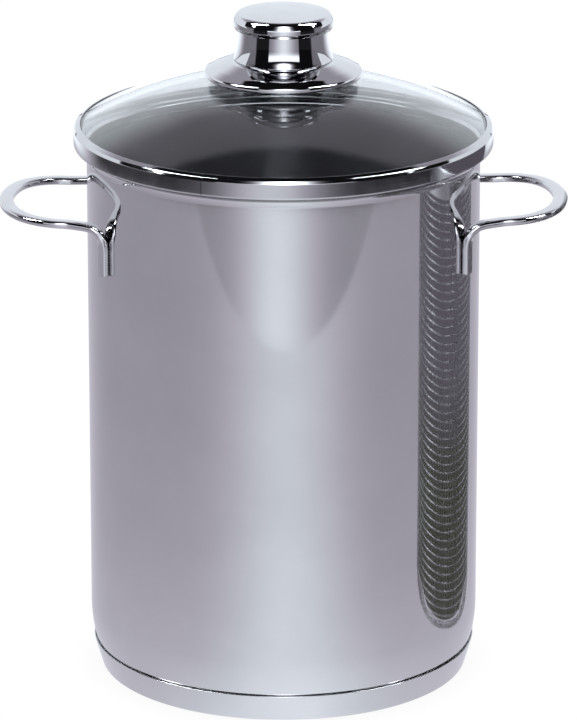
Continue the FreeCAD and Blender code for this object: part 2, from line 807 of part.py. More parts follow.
def handle_eye(x_side, y_side):
    """Strap bent round a wire end, its tail welded inside the rim band and a
    short tab turned in under the wire, so that the handle rests level."""
    x = x_side * BAIL_X
    y = EYE_Y0 if y_side > 0 else -EYE_Y1
    along_y = Vector(0, 1, 0)
    tail_x, eye_y = (TAIL_X0, TAIL_X1), (EYE_Y0, EYE_Y1)
    inside = Part.makeCylinder(
        RIM_RI - BASKET_GAP, TAIL_SPLIT - 150, Vector(0, 0, 150), Vector(0, 0, 1)
    )
    ring = Part.makeCylinder(EYE_R, EYE_T, Vector(x, y, BAIL_Z), along_y)
    tail = quadrant_box(x_side, y_side, tail_x, eye_y, (BAIL_Z - TAIL_H, BAIL_Z))
    upper = quadrant_box(x_side, y_side, tail_x, eye_y, (TAIL_SPLIT, BAIL_Z))
    tab = quadrant_box(
        x_side, y_side, (TAB_X0, TAB_X1), (TAB_Y0, EYE_Y1), (TAB_TOP - TAB_T, TAB_TOP)
    )
    hole = Part.makeCylinder(
        BAIL_WIRE + EYE_CLEAR, EYE_T + 2, Vector(x, y - 1, BAIL_Z), along_y
    )
    eye = ring.fuse([tail.common(inside), upper, tab]).cut(hole)
    return tidy(eye.removeSplitter())


# ---------------------------------------------------------------- save it all
for build in (
    pot_body,
    base_cap,
    base_core,
    lid_glass,
    lid_rim_band,
    knob_gasket_upper,
    knob_saucer,
    knob_body,
    knob_cap,
    knob_core,
    knob_insert,
    knob_gasket_lower,
    knob_washer,
    knob_screw,
    basket_mesh_wall,
    basket_mesh_floor,
    basket_rim_band,
    basket_cross_wires,
    basket_feet,
):
    save(build.__name__, build())

handle_right = loop_handle()
save("handle_right", handle_right)
save("handle_left", tidy(handle_right.mirror(Vector(0, 0, 0), Vector(1, 0, 0))))
save("basket_base_hoop", hoop(HOOP_WIRE))
save("basket_handle_right", bail(1))
save("basket_handle_left", bail(-1))
save("basket_handle_eyes", [handle_eye(sx, sy) for sx in (1, -1) for sy in (1, -1)])
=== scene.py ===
"""Looks for a tall glass-lidded stock pot and its lift-out wire basket.

The pot stands on the table at z = 0, its axis on Z, its handles at +X (right) and -X (left).
The camera looks from -Y, the front. Meshes are written in millimetres, with heights from the
CAD datum, LIFT above the table, and become metres in make_object.
Shaders, studio and camera are in metres and degrees.
"""

import bpy
import numpy as np
from math import acos, asin, atan2, ceil, copysign, cos, degrees, hypot, pi, radians, sin, sqrt, tan
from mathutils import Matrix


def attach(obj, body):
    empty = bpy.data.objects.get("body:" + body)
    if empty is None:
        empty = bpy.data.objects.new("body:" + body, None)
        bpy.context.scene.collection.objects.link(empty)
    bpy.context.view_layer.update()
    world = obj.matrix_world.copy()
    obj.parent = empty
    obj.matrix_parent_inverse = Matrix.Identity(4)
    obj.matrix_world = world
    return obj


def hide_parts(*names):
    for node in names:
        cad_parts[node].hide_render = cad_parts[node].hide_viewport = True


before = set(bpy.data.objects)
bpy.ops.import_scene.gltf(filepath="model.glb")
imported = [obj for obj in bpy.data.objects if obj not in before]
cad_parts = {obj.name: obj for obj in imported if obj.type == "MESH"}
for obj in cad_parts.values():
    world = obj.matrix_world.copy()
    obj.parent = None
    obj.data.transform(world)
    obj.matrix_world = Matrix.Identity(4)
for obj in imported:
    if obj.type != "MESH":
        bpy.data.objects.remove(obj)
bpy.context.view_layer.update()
scene = bpy.context.scene
MM = 0.001
LIFT = 1.2
GAP = 0.02  # clearance left between touching pieces


# ------------------------------------------------------------ mesh helpers
def link_object(name, mesh):
    ob = bpy.data.objects.new(name, mesh)
    scene.collection.objects.link(ob)
    return ob


def make_object(name, verts, faces, mats, smooth_angle, face_mats=None):
    """A mesh object from mm coordinates, normals outwards, smooth but for real corners."""
    verts = np.asarray(verts, float)
    fan = [(f[0], f[k], f[k + 1]) for f in faces for k in range(1, len(f) - 1)]
    tri = verts[np.asarray(fan)]
    if np.einsum("ij,ij->i", tri[:, 0], np.cross(tri[:, 1], tri[:, 2])).sum() < 0:
        faces = [tuple(reversed(f)) for f in faces]
    mesh = bpy.data.meshes.new(name)
    mesh.from_pydata(((verts + (0, 0, LIFT)) * MM).tolist(), [], faces)
    for mat in mats:
        mesh.materials.append(mat)
    if face_mats is not None:
        mesh.polygons.foreach_set("material_index", face_mats)
    mesh.polygons.foreach_set("use_smooth", [True] * len(mesh.polygons))
    mesh.update()
    mesh.set_sharp_from_angle(angle=radians(smooth_angle))
    return link_object(name, mesh)


def put(ob, body, node):
    """Ties an object to its moving body and the CAD node it replaces."""
    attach(ob, body)
    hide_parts(node)
    return ob


def unit(vector):
    return vector / np.linalg.norm(vector)


def arc(centre, radius, start, end, steps):
    """Points on an arc between two angles in degrees, both ends included."""
    angles = [radians(start + (end - start) * i / steps) for i in range(steps + 1)]
    return [(centre[0] + radius * cos(a), centre[1] + radius * sin(a)) for a in angles]


def outline(points, step=9.0, hold=0.12):
    """A closed (r, z) outline from (r, z, fillet) corners.

    step is the most degrees a fillet segment may turn. Each straight run gets a point
    this far (hold) from either end, which keeps its shading flat.
    """
    count = len(points)
    corners = []
    for i, (r, z, fillet) in enumerate(points):
        corner = np.array((r, z), float)
        if fillet <= 0:
            corners.append([tuple(corner)])
            continue
        back = unit(np.array(points[i - 1][:2], float) - corner)
        ahead = unit(np.array(points[(i + 1) % count][:2], float) - corner)
        angle = acos(max(-1.0, min(1.0, float(back @ ahead))))
        cut = fillet / tan(angle / 2)
        start, end = corner + back * cut, corner + ahead * cut
        c = corner + unit(back + ahead) * (fillet / sin(angle / 2))
        a0 = atan2(*(start - c)[::-1])
        a1 = atan2(*(end - c)[::-1])
        turn = (a1 - a0 + pi) % (2 * pi) - pi
        n = max(2, int(ceil(abs(degrees(turn)) / step)))
        angles = [a0 + turn * j / n for j in range(n + 1)]
        corners.append([(c[0] + fillet * cos(a), c[1] + fillet * sin(a)) for a in angles])
    path = []
    for i in range(count):
        path += corners[i]
        j = (i + 1) % count
        start, end = np.array(corners[i][-1]), np.array(corners[j][0])
        length = float(np.linalg.norm(end - start))
        on_axis = points[i][0] < 1e-6 and points[j][0] < 1e-6
        if length > 0.02 and not on_axis:
            inset = (end - start) / length * min(hold, length * 0.3)
            path += [tuple(start + inset), tuple(end - inset)]
    clean = []
    for q in path:
        if not clean or hypot(q[0] - clean[-1][0], q[1] - clean[-1][1]) > 1e-5:
            clean.append(q)
    return clean


def lathe(name, profile, mats, sides=256, span=None, material_of=None):
    """A solid turned about Z from a closed (r, z) outline.

    span is (start, end) in degrees for a part turn with flat ends. material_of gives
    the material index of the faces between two neighbouring outline points.
    """
    if span is None:
        count = sides
        theta = 2 * np.pi * np.arange(sides) / sides
    else:
        count = sides + 1
        theta = np.radians(span[0] + (span[1] - span[0]) * np.arange(count) / sides)
    verts, rings = [], []
    for r, z in profile:
        base = len(verts)
        if r < 1e-6:
            verts.append((0.0, 0.0, z))
        else:
            verts += [(r * c, r * s, z) for c, s in zip(np.cos(theta), np.sin(theta))]
        rings.append(list(range(base, len(verts))))
    faces, face_mats = [], []
    for i, a in enumerate(rings):
        k = (i + 1) % len(rings)
        b = rings[k]
        if len(a) == 1 and len(b) == 1:
            continue
        index = material_of(profile[i], profile[k]) if material_of else 0
        for j in range(sides):
            j2 = (j + 1) % count
            if len(a) == 1:
                faces.append((a[0], b[j], b[j2]))
            elif len(b) == 1:
                faces.append((a[j], b[0], a[j2]))
            else:
                faces.append((a[j], b[j], b[j2], a[j2]))
            face_mats.append(index)
    if span is not None:
        faces.append(tuple(ring[0] for ring in reversed(rings)))
        faces.append(tuple(ring[-1] for ring in rings))
        face_mats += [0, 0]
    return make_object(name, verts, faces, mats, 38.0, face_mats)


def tangents(path, closed):
    """Unit directions along the last-but-one axis of an array of points."""
    if closed:
        t = np.roll(path, -1, -2) - np.roll(path, 1, -2)
    else:
        t = np.gradient(path, axis=-2)
    return t / np.linalg.norm(t, axis=-1, keepdims=True)


def wires(paths, normals, radius, closed, sides=6):
    """Vertices and quads of open-ended round wires. Both inputs are (wires, points, 3)."""
    count, length, _ = paths.shape
    t = tangents(paths, closed)
    normals = normals - t * (normals * t).sum(2, keepdims=True)
    normals /= np.linalg.norm(normals, axis=2, keepdims=True)
    across = np.cross(t, normals)
    a = 2 * np.pi * np.arange(sides) / sides
    verts = (
        paths[:, :, None, :]
        + radius * np.cos(a)[None, None, :, None] * normals[:, :, None, :]
        + radius * np.sin(a)[None, None, :, None] * across[:, :, None, :]
    ).reshape(-1, 3)
    spans = length if closed else length - 1
    i, j, s = np.meshgrid(np.arange(count), np.arange(spans), np.arange(sides), indexing="ij")
    j2, s2 = (j + 1) % length, (s + 1) % sides
    ring, ring2 = (i * length + j) * sides, (i * length + j2) * sides
    quads = np.stack([ring + s, ring + s2, ring2 + s2, ring2 + s], -1).reshape(-1, 4)
    return verts, quads.tolist()


def loft_faces(rows, sides, closed=False):
    """Quads between rings of vertices, with flat caps unless the loft is closed."""
    faces = []
    for i in range(rows if closed else rows - 1):
        a, b = i * sides, ((i + 1) % rows) * sides
        for s in range(sides):
            s2 = (s + 1) % sides
            faces.append((a + s, a + s2, b + s2, b + s))
    if not closed:
        faces.append(tuple(range(sides))[::-1])
        faces.append(tuple(range((rows - 1) * sides, rows * sides)))
    return faces


def sweep(points, radius, sides=20, closed=False, round_ends=False):
    """One round rod along points, as (vertices, faces)."""
    p = np.asarray(points, float)
    t = tangents(p, closed)
    normal = np.array((0, 0, 1.0))
    if abs(t[0] @ normal) > 0.9:
        normal = np.array((1.0, 0, 0))
    normals = []
    for tangent in t:
        normal = unit(normal - tangent * (normal @ tangent))
        normals.append(normal)
    across = np.cross(t, normals)
    centres = p.copy()
    if round_ends:
        centres[0] += t[0] * radius
        centres[-1] -= t[-1] * radius
    rows = [(c, n, b, radius) for c, n, b in zip(centres, normals, across)]
    if round_ends:
        # (distance from the tip, ring radius) of each ring of an end
        ends = [
            (radius * (1 - sin(radians(a))), max(radius * cos(radians(a)), 1e-4))
            for a in (90, 65, 40, 20)
        ]
        head = [(p[0] + t[0] * d, normals[0], across[0], r) for d, r in ends]
        tail = [(p[-1] - t[-1] * d, normals[-1], across[-1], r) for d, r in reversed(ends)]
        rows = head + rows + tail
    angles = 2 * np.pi * np.arange(sides) / sides
    verts = [c + r * cos(a) * n + r * sin(a) * b for c, n, b, r in rows for a in angles]
    return np.array(verts), loft_faces(len(rows), sides, closed)


def joined(name, parts, mat, smooth_angle):
    """One object from several (vertices, faces) pairs."""
    faces, base = [], 0
    for verts, part_faces in parts:
        faces += [tuple(i + base for i in f) for f in part_faces]
        base += len(verts)
    return make_object(name, np.concatenate([p[0] for p in parts]), faces, [mat], smooth_angle)


def woven(name, parts):
    return joined(name, parts, WOVEN_WIRE, 75.0)


def rods(name, sweeps):
    return joined(name, sweeps, WIRE_ROD, 60.0)


def spun(points, angle):
    """Points turned about Z by an angle in degrees."""
    p = np.array(points, float)
    c, s = cos(radians(angle)), sin(radians(angle))
    return np.column_stack((p[:, 0] * c - p[:, 1] * s, p[:, 0] * s + p[:, 1] * c, p[:, 2]))


# ---------------------------------------------------------- shader helpers
# Studio cast at mid levels, and the one it moves to where the level is bright
LAVENDER = (1.0, 0.975, 1.11)
COOL = (0.93, 0.989, 1.055)


class Graph:
    """Short names for the shader nodes used below."""

    def __init__(self, tree):
        self.tree = tree
        tree.nodes.clear()

    def node(self, kind, inputs=None, **props):
        n = self.tree.nodes.new(kind)
        for key, value in props.items():
            setattr(n, key, value)
        for key, value in (inputs or {}).items():
            self.plug(n.inputs[key], value)
        return n

    def plug(self, socket, value):
        if isinstance(value, bpy.types.NodeSocket):
            self.tree.links.new(value, socket)
        else:
            socket.default_value = value

    def math(self, op, a, b=0.0, c=0.0, clamp=False):
        n = self.node("ShaderNodeMath", operation=op, use_clamp=clamp)
        for socket, value in zip(n.inputs, (a, b, c)):
            self.plug(socket, value)
        return n.outputs[0]

    def add(self, a, b):
        return self.math("ADD", a, b)

    def sub(self, a, b):
        return self.math("SUBTRACT", a, b)

    def mul(self, a, b):
        return self.math("MULTIPLY", a, b)

    def mul_add(self, a, b, c):
        return self.math("MULTIPLY_ADD", a, b, c)

    def ramp(self, x, start, end, low=0.0, high=1.0, kind="SMOOTHSTEP"):
        """low where x is under start, high where it is over end."""
        n = self.node(
            "ShaderNodeMapRange",
            {"Value": x, "From Min": start, "From Max": end, "To Min": low, "To Max": high},
            interpolation_type=kind,
            clamp=True,
        )
        return n.outputs[0]

    def linear(self, x, start, end, low=0.0, high=1.0):
        return self.ramp(x, start, end, low, high, kind="LINEAR")

    def fade(self, x, start, end):
        return self.sub(1.0, self.ramp(x, start, end))

    def between(self, x, rise, fall):
        """1 between two soft edges, each (start, end)."""
        return self.mul(self.ramp(x, *rise), self.fade(x, *fall))

    def bell(self, x, centre, width):
        t = self.math("DIVIDE", self.sub(x, centre), width)
        return self.math("EXPONENT", self.mul(self.mul(t, t), -1.0))

    def mix(self, factor, a, b):
        """Mix of two numbers."""
        n = self.node("ShaderNodeMix", {0: factor, 2: a, 3: b}, data_type="FLOAT")
        return n.outputs[0]

    def mix_colour(self, factor, a, b):
        n = self.node("ShaderNodeMix", {0: factor, 6: a, 7: b}, data_type="RGBA")
        return n.outputs[2]

    def varied(self, factor, base, vary):
        """The base colour, darker to lighter by the share vary."""
        return self.mix_colour(factor, rgba(base, 1 - vary), rgba(base, 1 + vary))

    def noise(self, vector, scale, detail=2.0, rough=0.5, distortion=0.0):
        inputs = {
            "Vector": vector,
            "Scale": scale,
            "Detail": detail,
            "Roughness": rough,
            "Distortion": distortion,
        }
        return self.node("ShaderNodeTexNoise", inputs).outputs[0]

    def coords(self, kind="Object"):
        return self.node("ShaderNodeTexCoord").outputs[kind]

    def xyz(self, vector):
        return self.node("ShaderNodeSeparateXYZ", {0: vector}).outputs

    def radius(self, x, y):
        """Distance from the Z axis."""
        return self.math("SQRT", self.add(self.mul(x, x), self.mul(y, y)))

    def from_front(self, a, y):
        """Degrees turned from the front (-Y) towards the direction of a."""
        return self.mul(self.math("ARCTAN2", a, self.mul(y, -1.0)), 180 / pi)

    def tinted(self, level):
        """A grey level with the studio's colour cast."""
        n = self.node("ShaderNodeCombineColor")
        bright = self.ramp(level, start=0.55, end=1.0)
        for socket, mid, high in zip(n.inputs[:3], LAVENDER, COOL):
            self.plug(socket, self.mul(level, self.mix(bright, mid, high)))
        return n.outputs[0]

    def bump(self, shader, height):
        n = self.node("ShaderNodeBump", {"Height": height, "Strength": 1.0, "Distance": 0.001})
        self.plug(shader.inputs["Normal"], n.outputs[0])

    def surface(self, shader, kind="ShaderNodeOutputMaterial"):
        self.node(kind, {"Surface": shader.outputs[0]})

    def by_ray(self, reflected, seen, kind="ShaderNodeOutputMaterial"):
        """One shader for the camera (seen), another for every other ray."""
        camera_ray = self.node("ShaderNodeLightPath").outputs["Is Camera Ray"]
        inputs = {0: camera_ray, 1: reflected.outputs[0], 2: seen.outputs[0]}
        self.surface(self.node("ShaderNodeMixShader", inputs), kind)


def rgba(colour, scale=1.0):
    return (*(min(1.0, c * scale) for c in colour), 1.0)


def new_material(name):
    mat = bpy.data.materials.new(name)
    mat.use_nodes = True
    return mat, Graph(mat.node_tree)


# --------------------------------------------------------------- materials
# Noise scale of the finishing marks round the axis, across them, and in the third direction
MARK_SCALES = {"round": (1.4, 2600.0, 60.0), "rings": (1.2, 2400.0, 40.0)}


def finishing_marks(g, x, y, z, lines):
    around = g.math("ARCTAN2", y, x)
    r = g.radius(x, y)
    across, third = (z, r) if lines == "round" else (r, z)
    values = [g.mul(v, s) for v, s in zip((around, across, third), MARK_SCALES[lines])]
    vector = g.node("ShaderNodeCombineXYZ", dict(enumerate(values))).outputs[0]
    return g.noise(vector, 1.0, detail=3.0, rough=0.65)


def painted_crevice_shade(g, colour, x, y, z):
    """Painted shade: the base colour darkens to a dull grey in the crevice under the lid's band,
    where the band shades the rim.
    """
    r = g.radius(x, y)
    shade_share = g.mul(g.ramp(z, start=0.2222, end=0.2234), g.ramp(r, start=0.0818, end=0.0822))
    return g.mix_colour(g.mul(shade_share, 0.8), colour, (0.10, 0.10, 0.105, 1))


def steel(
    name,
    base,
    rough,
    mottle=25.0,
    vary=0.04,
    lines=None,
    line_bump=0.0,
    line_rough=0.0,
    aniso=0.0,
    rotation=0.0,
    wave=0.0,
    crevice=False,
):
    """Stainless steel.

    rough is (smoothest, roughest), mottle the noise scale of its cloudiness, vary its share
    of tone. lines is how the finishing marks run: 'round' the Z axis, 'rings' on a flat
    turned face, or None. wave is the height of slow ripples, used with lines only.
    """
    mat, g = new_material(name)
    pos = g.coords()
    big = g.noise(pos, mottle, detail=3.0, rough=0.55)
    fine = g.noise(pos, mottle * 9.0, rough=0.6)
    blend = g.mul_add(fine, 0.35, g.mul(big, 0.65))
    roughness = g.linear(blend, 0.36, 0.64, low=rough[0], high=rough[1])
    tone = g.linear(big, 0.3, 0.7)
    if lines:
        x, y, z = g.xyz(pos)
        marks = finishing_marks(g, x, y, z, lines)
        uneven = g.mul(g.sub(marks, 0.5), line_rough)
        roughness = g.math("ADD", roughness, uneven, clamp=True)
    colour = g.varied(tone, base, vary)
    if lines:
        share = g.linear(marks, 0.25, 0.75, high=0.6 * min(1.0, vary * 8))
        colour = g.mix_colour(share, colour, rgba(base, 0.93))
    # painted shade in the crevice under the lid's band
    if crevice:
        colour = painted_crevice_shade(g, colour, x, y, z)
    shader = g.node(
        "ShaderNodeBsdfPrincipled",
        {"Base Color": colour, "Metallic": 1.0, "Roughness": roughness},
    )
    if aniso:
        g.plug(shader.inputs["Anisotropic"], aniso)
        g.plug(shader.inputs["Anisotropic Rotation"], rotation)
        tangent = g.node("ShaderNodeTangent", direction_type="RADIAL", axis="Z")
        g.plug(shader.inputs["Tangent"], tangent.outputs[0])
    if lines:
        height = g.mul(marks, line_bump)
        if wave:
            height = g.add(height, g.mul(g.noise(pos, 16.0, detail=1.0, rough=0.4), wave))
        g.bump(shader, height)
    g.surface(shader)
    return mat


def plain(name, base, rough, metallic=0.0, vary=0.12, bump=0.0):
    """A cast or moulded material, cloudy in tone and finely pitted."""
    mat, g = new_material(name)
    pos = g.coords()
    cloud = g.noise(pos, 60.0, detail=4.0, rough=0.6)
    pits = g.noise(pos, 60.0 * 14.0)
    colour = g.varied(g.linear(cloud, 0.3, 0.7), base, vary)
    roughness = g.linear(cloud, 0.3, 0.7, low=rough[0], high=rough[1])
    shader = g.node(
        "ShaderNodeBsdfPrincipled",
        {"Base Color": colour, "Metallic": metallic, "Roughness": roughness},
    )
    g.bump(shader, g.mul(pits, bump))
    g.surface(shader)
    return mat


def glass(name):
    """Clear tempered glass with a faint grey tint."""
    mat, g = new_material(name)
    smear = g.noise(g.coords(), 22.0, detail=4.0, rough=0.6, distortion=0.4)
    roughness = g.linear(smear, 0.45, 0.75, high=0.035)
    share = g.linear(smear, 0.3, 0.7)
    tint = g.mix_colour(share, (0.93, 0.945, 0.95, 1), (0.955, 0.965, 0.965, 1))
    inputs = {"Base Color": tint, "Roughness": roughness, "IOR": 1.5, "Transmission Weight": 1.0}
    g.surface(g.node("ShaderNodeBsdfPrincipled", inputs))
    return mat


STEEL = (0.63, 0.62, 0.635)
# the pot's outside, with painted shade in the crevice under the lid's band
POLISHED = steel(
    "polished_steel", STEEL, rough=(0.035, 0.06),
    lines="round", line_bump=0.0004, line_rough=0.02, wave=0.004, crevice=True,
)
# Inside of the pot: the brushed, anisotropic finish is the steel's own, but the base colour, far
# darker than the outside's, is painted shade inside the pot
BRUSHED_SHADED_INSIDE = steel(
    "brushed_inside_painted_shade", (0.23, 0.225, 0.24), rough=(0.34, 0.37),
    lines="round", line_bump=0.0008, line_rough=0.08, aniso=0.93, rotation=0.25,
)
BASE_STEEL = steel(
    "base_steel", STEEL, rough=(0.05, 0.09), lines="round", line_bump=0.001, line_rough=0.04
)
UNDERSIDE = steel(
    "base_underside", (0.58, 0.58, 0.59), rough=(0.16, 0.26),
    lines="rings", line_bump=0.006, line_rough=0.12, aniso=0.6,
)
HANDLE_STEEL = steel("handle_steel", STEEL, rough=(0.04, 0.08), mottle=60.0)
BAND_STEEL = steel(
    "lid_band_steel", (0.60, 0.595, 0.61), rough=(0.045, 0.08),
    lines="round", line_bump=0.0008, line_rough=0.04,
)
KNOB_STEEL = steel(
    "knob_steel", (0.65, 0.645, 0.66), rough=(0.025, 0.05), mottle=60.0,
    lines="round", line_bump=0.0003, line_rough=0.01,
)
BASKET_STEEL = steel(
    "basket_steel", (0.60, 0.60, 0.61), rough=(0.16, 0.26), mottle=80.0,
    lines="round", line_bump=0.002, line_rough=0.06,
)
WOVEN_WIRE = steel(
    "woven_wire", (0.58, 0.575, 0.58), rough=(0.18, 0.30), mottle=120.0, vary=0.08
)
WIRE_ROD = steel("wire_rod", (0.62, 0.615, 0.625), rough=(0.09, 0.16), mottle=90.0)
PLAIN_STEEL = steel(
    "plain_steel", (0.55, 0.55, 0.56), rough=(0.20, 0.32), mottle=150.0,
    lines="rings", line_bump=0.003, line_rough=0.08,
)
ALUMINIUM = plain(
    "base_aluminium", (0.78, 0.79, 0.80), rough=(0.35, 0.5), metallic=1.0, bump=0.02
)
LID_GLASS = glass("lid_glass")
SILICONE = plain("silicone", (0.62, 0.63, 0.65), rough=(0.38, 0.5), vary=0.04, bump=0.004)
MOULDING = plain(
    "knob_moulding", (0.025, 0.025, 0.027), rough=(0.35, 0.5), vary=0.2, bump=0.01
)
BRASS = plain("insert_brass", (0.72, 0.50, 0.22), rough=(0.22, 0.38), metallic=1.0, bump=0.01)

# --------------------------------------------------------------------- pot
POT_R, POT_WALL = 80.8, 0.8
POT_BORE = POT_R - POT_WALL
POT_BOTTOM = 6.2
FOOT_R, FOOT_Z = 60.0, 25.4  # the wall curves in below FOOT_Z on this radius
HEEL_Z = 11.2  # there a tighter heel arc takes over, down to the flat bottom
LIP_R, LIP_TURN = 4.2, 78.0  # the rim flares on this inner radius, by this many degrees
LIP_CENTRE = POT_R + LIP_R
LIP_Z = 223.347 - 5.0 * sin(radians(LIP_TURN))


def pot_shell():
    heel_angle = degrees(asin((FOOT_Z - HEEL_Z) / FOOT_R))
    heel_r = (HEEL_Z - POT_BOTTOM) / (1 - sin(radians(heel_angle)))
    foot_r = POT_R - FOOT_R
    heel_centre = foot_r + (FOOT_R - heel_r) * cos(radians(heel_angle))
    heel = (heel_centre, HEEL_Z + heel_r * sin(radians(heel_angle)))
    foot, lip = (foot_r, FOOT_Z), (LIP_CENTRE, LIP_Z)
    lip_end = 180 - LIP_TURN
    flare_under = arc(lip, LIP_R, 180, lip_end, 20)
    flare_top = arc(lip, LIP_R + POT_WALL, lip_end, 180, 20)
    under, top = flare_under[-1], flare_top[0]
    nose = ((under[0] + top[0]) / 2, (under[1] + top[1]) / 2)
    nose_start = degrees(atan2(under[1] - nose[1], under[0] - nose[0]))
    bottom_radii = (0, 20, 45, heel_centre - 0.2)
    wall_heights = (60, 110, 165, LIP_Z - 0.2)
    outer = (
        [(r, POT_BOTTOM) for r in bottom_radii]
        + arc(heel, heel_r, -90, -heel_angle, 24)
        + arc(foot, FOOT_R, -heel_angle, 0, 16)[1:]
        + [(POT_R, z) for z in (25.6, *wall_heights)]
        + flare_under
        + arc(nose, POT_WALL / 2, nose_start, nose_start + 180, 10)[1:-1]
        + flare_top
    )
    inner = (
        [(POT_BORE, z) for z in (*reversed(wall_heights), 25.6)]
        + arc(foot, FOOT_R - POT_WALL, 0, -heel_angle, 16)
        + arc(heel, heel_r - POT_WALL, -heel_angle, -90, 20)[1:]
        + [(r, POT_BOTTOM + POT_WALL) for r in reversed(bottom_radii)]
    )
    brushed = set(inner)
    return lathe(
        "pot_body_shell",
        outer + inner,
        [POLISHED, BRUSHED_SHADED_INSIDE],
        sides=384,
        material_of=lambda a, b: 1 if a in brushed and b in brushed else 0,
    )


def base_cap():
    """The shallow cup under the pot, its side flaring upwards."""
    foot_r, rim_r, bottom, top = 76.4, 79.75, -1.2, 10.4
    inside, sheet_z = 0.4, -0.6
    inner_foot = foot_r + (rim_r - foot_r) * (sheet_z - bottom) / (top - bottom) - inside
    # (r, z, fillet)
    corners = [
        (0, bottom, 0),
        (foot_r, bottom, 1.1),
        (rim_r, top, 0.13),
        (79.35, top, 0.1),
        (inner_foot, sheet_z, 0.5),
        (0, sheet_z, 0),
    ]
    return lathe(
        "base_cap_cup",
        outline(corners, step=7.0),
        [BASE_STEEL, UNDERSIDE],
        sides=360,
        material_of=lambda a, b: 1 if a[1] < -1.195 and b[1] < -1.195 else 0,
    )


put(pot_shell(), "pot", "pot_body")
put(base_cap(), "pot", "base_cap")

# ----------------------------------------------------------------- handles
ROD_WIDTH, ROD_THICK = 6.0, 3.2
ROD_SIDES = 56
SQUARENESS = 3.2  # exponent of the rounded-square section
LEG_ANGLE = 26.0  # of each leg round the pot from the handle's middle
LEG_R = POT_R + ROD_THICK / 2 + GAP
TOUCH_R = POT_R + 0.015  # no vertex comes nearer the axis than this
LEG_X, LEG_Y = LEG_R * cos(radians(LEG_ANGLE)), LEG_R * sin(radians(LEG_ANGLE))
# Leg, climbing the wall and bending out: (x, y) from the leg's foot, z
LEG_TRACK = [
    (0, 0, 177.5), (0, 0, 181.5), (0, 0, 185.5), (0, 0, 189.0),
    (0.35, -0.05, 192.2), (1.45, -0.35, 194.85), (3.5, -0.9, 196.75),
    (6.2, -1.75, 197.55), (9.5, -2.7, 197.85),
]
# Loop, from the leg to the handle's middle: (x, y, z)
LOOP_TRACK = [
    (88.0, 32.3, 198.15), (93.5, 31.8, 198.45), (98.5, 30.4, 198.7),
    (103.0, 27.8, 198.95), (107.0, 23.8, 199.15), (110.2, 18.3, 199.3),
    (112.3, 12.3, 199.35), (113.5, 6.1, 199.4),
]
# Rounding of the rod's ends: (distance along the rod, inset of the section)
END_ROUNDING = [(0.0, 0.45), (0.06, 0.2), (0.2, 0.06), (0.45, 0.0)]


def catmull(points, steps):
    """A Catmull-Rom curve through points, with this many steps between each two."""
    out = []
    last = len(points) - 1
    for i in range(last):
        p0, p1, p2, p3 = (points[k] for k in (max(i - 1, 0), i, i + 1, min(i + 2, last)))
        for k in range(steps):
            t = k / steps
            out.append(
                0.5
                * (
                    p1 * 2
                    + (p2 - p0) * t
                    + (p0 * 2 - p1 * 5 + p2 * 4 - p3) * t**2
                    + (p1 * 3 - p0 - p2 * 3 + p3) * t**3
                )
            )
    out.append(points[-1])
    return out


def handle_frames():
    """(point, width direction, thickness direction, tangent) along the right handle."""
    half = [(LEG_X + dx, LEG_Y + dy, z) for dx, dy, z in LEG_TRACK] + LOOP_TRACK
    mirrored = [(x, -y, z) for x, y, z in reversed(half)]
    path = catmull(np.array(half + [(114.0, 0.0, 199.4)] + mirrored, float), 9)
    along, widths = [], []
    previous = np.zeros(3)
    for i, p in enumerate(path):
        t = unit(path[min(i + 1, len(path) - 1)] - path[max(i - 1, 0)])
        # the width lies round the pot on the legs and turns level on the loop
        share = max(0.0, min(1.0, (p[2] - 190.1) / 6.6))
        share = share * share * (3 - 2 * share)
        if p[0] > 90:
            share = 1.0
        radial = unit(np.array((p[0], p[1], 0.0)))
        width = np.array((-radial[1], radial[0], 0.0))
        level = np.cross((0, 0, 1.0), t)
        if np.linalg.norm(level) > 1e-3:
            level = unit(level)
        if level @ previous < 0:
            level = -level
        if width @ previous < 0:
            width = -width
        width = level * share + width * (1 - share)
        previous = unit(width - t * (width @ t))
        along.append(t)
        widths.append(previous)
    # the width turns a little unevenly between stations, so it is evened out
    widths = np.array(widths)
    for _ in range(6):
        widths[1:-1] = (widths[:-2] + 2 * widths[1:-1] + widths[2:]) / 4
    frames = []
    for p, width, t in zip(path, widths, along):
        width = unit(width - t * (width @ t))
        frames.append((p, width, unit(np.cross(t, width)), t))
    return frames


def handle_section(centre, width, thick, inset):
    out = []
    power = 2.0 / SQUARENESS
    for j in range(ROD_SIDES):
        a = 2 * pi * j / ROD_SIDES + pi / 4
        c, s = cos(a), sin(a)
        u = copysign(abs(c) ** power, c) * (ROD_WIDTH / 2 - inset)
        v = copysign(abs(s) ** power, s) * (ROD_THICK / 2 - inset)
        out.append(centre + width * u + thick * v)
    return out


def handle_mesh():
    """Vertices and faces of the right handle."""
    frames = handle_frames()
    p, w, n, t = frames[0]
    rings = [handle_section(p + t * d, w, n, inset) for d, inset in END_ROUNDING]
    rings += [handle_section(p, w, n, 0.0) for p, w, n, t in frames[1:-1]]
    p, w, n, t = frames[-1]
    rings += [handle_section(p - t * d, w, n, inset) for d, inset in reversed(END_ROUNDING)]
    verts = np.array(rings).reshape(-1, 3)
    r = np.hypot(verts[:, 0], verts[:, 1])
    verts[:, :2] *= np.where(r < TOUCH_R, TOUCH_R / r, 1.0)[:, None]
    return verts, loft_faces(len(rings), ROD_SIDES)


verts, faces = handle_mesh()
for side, label in ((1, "right"), (-1, "left")):
    ob = make_object(f"handle_{label}_rod", verts * (side, 1, 1), faces, [HANDLE_STEEL], 60.0)
    put(ob, "pot", f"handle_{label}")

# --------------------------------------------------------------------- lid
DOME_Z = 71.9  # centre of the glass dome's spheres
DOME_R, GLASS_THICK = 180.0, 4.0
GLASS_HOLE, GLASS_R = 4.0, 85.3
GLASS_EDGE = 0.8  # width of the rounded edge


def dome(r, sphere=DOME_R):
    return DOME_Z + sqrt(sphere**2 - r**2)


